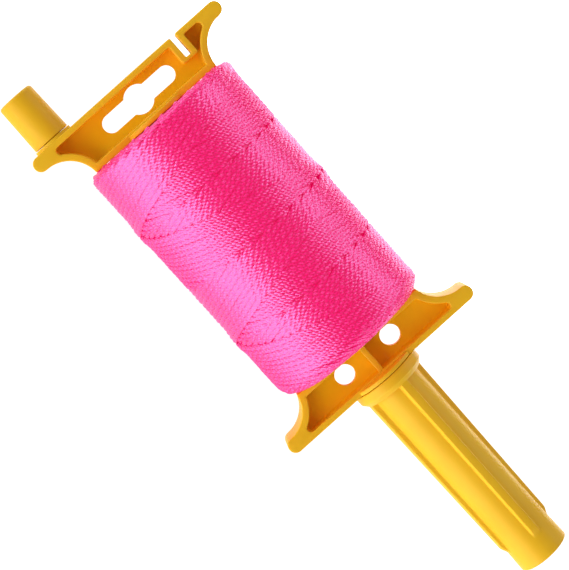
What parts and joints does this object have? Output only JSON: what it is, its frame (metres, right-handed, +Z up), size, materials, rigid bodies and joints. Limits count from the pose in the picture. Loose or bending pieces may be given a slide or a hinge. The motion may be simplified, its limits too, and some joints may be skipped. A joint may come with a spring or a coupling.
{
  "type": "twisted line reel",
  "caption": "Hand reel with a wound roll of twisted line between two horned end plates, a spinning ribbed grip and a crank knob.",
  "frame": {"origin": "middle of the underside of the box around the reel as it lies on a flat surface, on its roll and the tips of the two horns on the knob's side", "axes": "+X along the reel from the crank knob to the free end of the grip, +Z up from the surface it lies on, +Y across; the end plates are turned about X from the horizontal so that two horn tips and the roll share the surface"},
  "size_m": [0.2718, 0.085, 0.0716],
  "materials": {
    "amber_plastic": "moulded ABS, satin gloss, golden yellow",
    "line": "fluorescent pink twisted nylon line with a soft sheen",
    "card": "plain brown card tube",
    "steel": "bright zinc plated",
    "nylon": "natural nylon"
  },
  "bodies": {
    "reel": {"crank_plate": "amber_plastic", "knob_washer": "steel", "knob_screw": "steel", "arbor": "amber_plastic", "arbor_pin": "steel", "roll_core": "card", "line_roll": "line", "handle_plate": "amber_plastic", "thrust_washer": "nylon", "grip_washer": "steel", "grip_screw": "steel"},
    "grip": {"handle_grip": "amber_plastic"},
    "knob": {"crank_knob": "amber_plastic"}
  },
  "joints": [
    {"name": "grip_spin", "type": "hinge", "parent": "reel", "child": "grip", "pos_m": [0, 0, 0.0358], "axis": [1, 0, 0], "continuous": true},
    {"name": "knob_spin", "type": "hinge", "parent": "reel", "child": "knob", "pos_m": [0, -0.02757, 0.01424], "axis": [1, 0, 0], "continuous": true}
  ]
}
